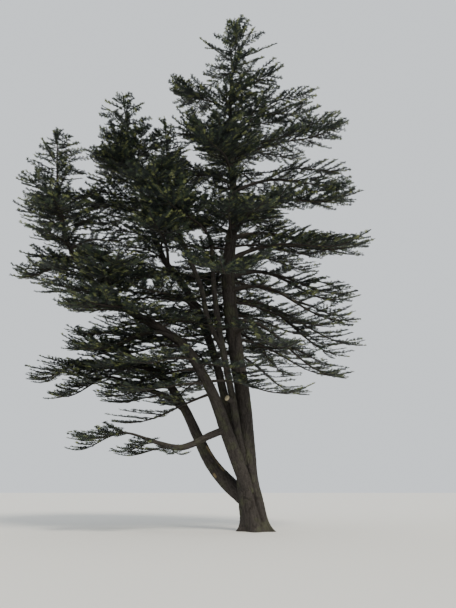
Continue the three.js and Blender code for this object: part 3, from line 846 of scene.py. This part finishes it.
for rule, ruled in ((in_own_space, arm_kind != LESSER), (within_crown, arm_kind == LESSER)):
    searching = np.flatnonzero(ruled)
    while len(searching):
        clear = with_room(searching, rule, on_arm, arm_tier, ARM_TRIED_SHARES)
        searching = searching[~clear & (arm_length[searching] >= shortest[searching])]
        arm_length[searching] *= ARM_CUT_BACK
grown = np.flatnonzero(arm_length >= shortest)
ring_shares = np.broadcast_to(np.linspace(0, 1, ARM_RINGS), (len(grown), ARM_RINGS))
arm_lines = on_arm(grown[:, None], ring_shares)
bough_width = (boughs["thick"][arm_row] * (1 - BOUGH_TAPER * arm_share))[grown]
arm_foot = np.minimum(0.6 * bough_width + 0.003, 0.006 + 0.011 * arm_length[grown])
arm_points, arm_faces = many_tubes(arm_lines, arm_foot[:, None] * (1 - 0.85 * ring_shares), 3)
arms = new_piece("side_arms", arm_points, arm_faces, young_bark)
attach(arms, "root")

# Twigs
# Twigs branch off both sides of every arm, and of every bough beyond its bare foot, so that each arm ends up
# as a flat plate in the outline of a narrow leaf. They are the last two years' growth, a few mm thick.
TWIG_STRETCHES = ((0.2, 0.6), (0.6, 1))
TWIG_STEP = 0.19
TWIG_HALF_WIDTH = 0.14
SHORTEST_TWIG = 0.15
LONGEST_TWIG = 0.5
LEAST_LEAN = 44
LEAN_RANGE = 24
TWIG_CLEARANCE = 0.05
PIECE_LIMIT = 190000

stretch_shares = np.tile([np.linspace(*ends, ARM_RINGS) for ends in TWIG_STRETCHES], (len(boughs), 1))
stretch_row = np.repeat(np.arange(len(boughs)), len(TWIG_STRETCHES))
stretch_length = np.tile(np.diff(TWIG_STRETCHES)[:, 0], len(boughs)) * lengths(boughs)[stretch_row]
lines = np.concatenate((arm_lines, on_bough(boughs[stretch_row][:, None], stretch_shares)))
line_length = np.concatenate((arm_length[grown], stretch_length))
line_roll = np.concatenate((arm_roll[grown], np.zeros(len(stretch_row))))


def on_lines(line, share):
    """Points on the ringed lines: straight between the two rings on either side of a share."""
    place = np.clip(share, 0, 1) * (ARM_RINGS - 1)
    ring = np.minimum(place.astype(int), ARM_RINGS - 2)
    w = (place - ring)[..., None]
    return lines[line, ring] * (1 - w) + lines[line, ring + 1] * w


def turned(vectors, axis, angle):
    """Vectors square to an axis, turned round it: the cosine of the angle times the vector, plus its sine
    times the axis crossed with the vector."""
    return vectors * np.cos(angle)[:, None] + np.cross(axis, vectors) * np.sin(angle)[:, None]


pairs = np.maximum((line_length / TWIG_STEP).astype(int), 3)
twig_line, twig_number = dealt(2 * pairs)
twig_share = 0.1 + 0.88 * (twig_number // 2 + 0.5 * (twig_number % 2)) / pairs[twig_line]
twig_share += 0.05 * (chance(twig_line, 300 + twig_number) - 0.5)
twig_side = np.where(twig_number % 2, 1, -1)
outline = np.sin(math.pi * (0.2 + 0.8 * twig_share))
twig_length = TWIG_HALF_WIDTH * line_length[twig_line] * outline
twig_length /= math.sin(math.radians(LEAST_LEAN + LEAN_RANGE / 2))
twig_length *= 0.7 + 0.55 * chance(twig_line, 500 + twig_number)
twig_length = np.clip(twig_length, SHORTEST_TWIG, LONGEST_TWIG)
foot = on_lines(twig_line, twig_share)
run = unit(on_lines(twig_line, twig_share + 0.03) - on_lines(twig_line, twig_share - 0.03))
across = turned(unit(np.cross(UP, run)), run, line_roll[twig_line])
over = np.cross(run, across)
lean = np.radians(LEAST_LEAN + LEAN_RANGE * chance(twig_line, 700 + twig_number))[:, None]
tilt = (0.34 * (chance(twig_line, 900 + twig_number) - 0.42))[:, None]
out = unit(run * np.cos(lean) + across * twig_side[:, None] * np.sin(lean) + over * tilt)
bend = foot + out * (0.55 * twig_length)[:, None]
tip = foot + unit(out + 0.4 * run + 0.1 * UP) * twig_length[:, None]
in_box = ((tip > cad_low) & (tip < cad_high)).all(1)
batches = np.array_split(tip, len(tip) // BATCH + 1)
kept = in_box & np.concatenate([off_limbs(part) > TWIG_CLEARANCE for part in batches])
twig_share, twig_length = twig_share[kept], twig_length[kept]
foot, bend, tip, over = foot[kept], bend[kept], tip[kept], over[kept]


def joined_pieces(name, shapes, faces, material, smooth):
    """Pieces that join many small shapes with the same faces, under the limit of triangles each: shapes is
    shapes by points by 3, and the faces number the points of one shape."""
    pieces = len(shapes) * len(faces) // PIECE_LIMIT + 1
    for number, part in enumerate(np.array_split(shapes, pieces)):
        offsets = np.arange(len(part))[:, None, None] * shapes.shape[1]
        joined = (faces + offsets).reshape(-1, 3)
        piece = new_piece(f"{name}_{number + 1}", part.reshape(-1, 3), joined, material, smooth)
        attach(piece, "root")


twig_turn = np.radians([90, 210, 330])[:, None]
spokes = over[:, None] * np.sin(twig_turn) + np.cross(over, unit(tip - foot))[:, None] * np.cos(twig_turn)
foot_ring = foot[:, None] + spokes * (0.002 + 0.006 * twig_length)[:, None, None]
cone = np.array([[0, 1, 3], [1, 2, 3], [2, 0, 3], [2, 1, 0]])
joined_pieces("twigs", np.concatenate((foot_ring, tip[:, None]), axis=1), cone, young_bark, True)

# Needle sprays
# Cedar needles are stiff, waxy and 20 to 30 mm long, in tufts on short shoots all along the twigs. A spray
# here is a stretch of twig with four pairs of tufts swept forward and two standing on top, each tuft one
# sharp face.
SPRAY_LENGTH = 0.32
TOOTH_PAIRS = 4
TOP_TEETH = 2
SPRAY_HALF_WIDTH = 0.082
SPRAY_ROLL = 0.9
# The tints from deep to light are partly the needles' own range of greens and partly painted shade and
# painted highlight, standing for shaded and sunlit sprays.
NEEDLE_TINTS = {
    # tint: a tuft's painted shade colour, its painted highlight colour, and the share of the sprays that it
    # takes
    "deep": ("#1b2125", "#2b3331", 0.33),
    "dark": ("#252d2e", "#3a433a", 0.29),
    "green": ("#313d34", "#4b5842", 0.2),
    "olive": ("#4c553a", "#6c734c", 0.14),
    "light": ("#727a50", "#929962", 0.04),
}

sprays_each = np.maximum(np.round(twig_length / SPRAY_LENGTH).astype(int), 1)
spray_twig, spray_number = dealt(sprays_each)
stretch = 1 / sprays_each[spray_twig]


def on_twig(twig, share):
    """Points on twigs: a curve from foot to tip that is drawn towards the bend, by its shares squared."""
    s = share[:, None]
    return (1 - s) ** 2 * foot[twig] + 2 * s * (1 - s) * bend[twig] + s * s * tip[twig]


# Sprays sit end to end along every twig, and along the arms and boughs themselves, and overlap a little.
sprays_along = np.maximum((line_length / SPRAY_LENGTH).astype(int), 2)
line_number, line_order = dealt(sprays_along)
line_count = sprays_along[line_number]
line_from = 0.12 + 0.88 * line_order / line_count
root_end = np.concatenate((
    on_twig(spray_twig, (spray_number + 0.05) * stretch),
    on_lines(line_number, line_from),
))
far_end = np.concatenate((
    on_twig(spray_twig, np.minimum((spray_number + 1.12) * stretch, 1.06)),
    on_lines(line_number, line_from + 0.96 / line_count),
))
spray_over = np.concatenate((over[spray_twig], np.tile(UP, (len(line_number), 1))))
spray_id = np.arange(len(root_end))
axis = far_end - root_end
spray_size = np.linalg.norm(axis, axis=1)
axis = unit(axis)
side = unit(np.cross(spray_over, axis))
side = turned(side, axis, SPRAY_ROLL * (chance(spray_id, 5) - 0.5))
top = np.cross(axis, side)
width = SPRAY_HALF_WIDTH * (0.8 + 0.4 * chance(spray_id, 7))

joints = np.linspace(0, 1, TOOTH_PAIRS + 1)
spine = root_end[:, None] + axis[:, None] * (spray_size[:, None] * joints)[..., None]
tooth = np.arange(TOOTH_PAIRS)
tooth_reach = width[:, None] * (0.78 + 0.3 * np.sin(math.pi * (tooth + 0.5) / TOOTH_PAIRS))
tooth_reach = tooth_reach * (0.75 + 0.5 * chance(spray_id[:, None], 20 + tooth))
tooth_ahead = spray_size[:, None] * joints[:-1] + 0.85 * tooth_reach
tooth_from = root_end[:, None] + axis[:, None] * tooth_ahead[..., None]
droop = top[:, None] * (0.3 * tooth_reach * (chance(spray_id[:, None], 40 + tooth) - 0.35))[..., None]
left_tips = tooth_from + side[:, None] * tooth_reach[..., None] + droop
right_tips = tooth_from - side[:, None] * tooth_reach[..., None] + droop

comb = np.arange(TOP_TEETH)
comb_height = 0.62 * width[:, None] * (0.7 + 0.6 * chance(spray_id[:, None], 60 + comb))
comb_from = spray_size[:, None] * (comb + 1.1) / (TOP_TEETH + 0.5)
comb_tips = root_end[:, None] + axis[:, None] * comb_from[..., None] + top[:, None] * comb_height[..., None]
spray_points = np.concatenate((spine, left_tips, right_tips, comb_tips), axis=1)
left, right, standing = TOOTH_PAIRS + 1, 2 * TOOTH_PAIRS + 1, 3 * TOOTH_PAIRS + 1
comb_root = 2 * comb
spray_faces = np.concatenate((
    np.stack((tooth, tooth + 1, left + tooth), -1),
    np.stack((tooth + 1, tooth, right + tooth), -1),
    np.stack((comb_root, comb_root + 1, standing + comb), -1),
))

# Waxy needles: each tint mixes a painted shade colour and a painted highlight colour by a noise about 60 mm
# across, so tufts vary between them. The wax gives a dull gloss on top of a tier. Tints are dealt out by
# spray, lighter ones at the outer ends; the dark to light tints are partly the needles' own greens and partly
# painted shade and painted highlight.
# Lightness rank: random, plus a little more towards the outer ends; higher ranks get lighter tints, partly
# the needles' own colour and partly painted highlight.
lightness_rank = chance(spray_id, 91) + 0.25 * np.concatenate((twig_share[spray_twig], line_from))
order = np.argsort(np.argsort(lightness_rank)) / len(lightness_rank)
tint_from = 0
for tint, (painted_shade, painted_highlight, portion) in NEEDLE_TINTS.items():
    needles, needle_shader = new_material(f"cedar_needles_{tint}")
    place = add_node(needles, "ShaderNodeTexCoord", {})
    tufts = add_node(needles, "ShaderNodeTexNoise",
                     {"Vector": place.outputs["Object"], "Scale": 1 / 0.06, "Detail": 2.0})
    # Painted light: each tuft's colour is a noise mix of a painted shade colour and a painted highlight
    # colour.
    needle_colour = colour_steps(needles, tufts.outputs["Fac"], [(0.35, painted_shade), (0.7, painted_highlight)])
    feed(needles, needle_shader, {"Base Color": needle_colour, "Roughness": 0.58, "Specular IOR Level": 0.3})
    chosen = np.flatnonzero((order >= tint_from) & (order < tint_from + portion))
    tint_from += portion
    joined_pieces(f"needles_{tint}", spray_points[chosen], spray_faces, needles, False)

# Floor, light and camera
# A plain pale floor and a pale sky, a broad soft lamp high on the right, and a camera at eye height, tilted
# up at the tree.
CAMERA_PLACE = (-1.15, -26.1, 1.6)
CAMERA_TILT = 17.5
FLOOR_REACH = 400
FLOOR_DROP = 0.004

floor_material, floor_shader = new_material("pale_floor")
feed(floor_material, floor_shader, {"Base Color": linear("#d9d8d3"), "Roughness": 0.9})
floor_corners = np.array([[-1, -1], [1, -1], [1, 1], [-1, 1]]) * FLOOR_REACH
floor_corners = np.column_stack((floor_corners, np.full(4, -FLOOR_DROP)))
floor = new_piece("floor", floor_corners, np.array([[0, 1, 2], [0, 2, 3]]), floor_material)

world = bpy.data.worlds.new("pale_sky")
world.use_nodes = True
world.node_tree.nodes["Background"].inputs["Color"].default_value = linear("#e3e8ec")
world.node_tree.nodes["Background"].inputs["Strength"].default_value = 1.2
bpy.context.scene.world = world

lamp = bpy.data.lights.new("soft_sun", "SUN")
lamp.energy = 3
lamp.angle = math.radians(18)
lamp.color = linear("#fff6e6")[:3]
sun = bpy.data.objects.new("soft_sun", lamp)
sun.rotation_euler = (math.radians(38), math.radians(24), 0)
bpy.context.scene.collection.objects.link(sun)

lens = bpy.data.cameras.new("camera")
lens.lens = 35
lens.sensor_width = 36
lens.clip_end = 2000
camera = bpy.data.objects.new("camera", lens)
camera.location = CAMERA_PLACE
camera.rotation_euler = (math.radians(90 + CAMERA_TILT), 0, 0)
bpy.context.scene.collection.objects.link(camera)
bpy.context.scene.camera = camera
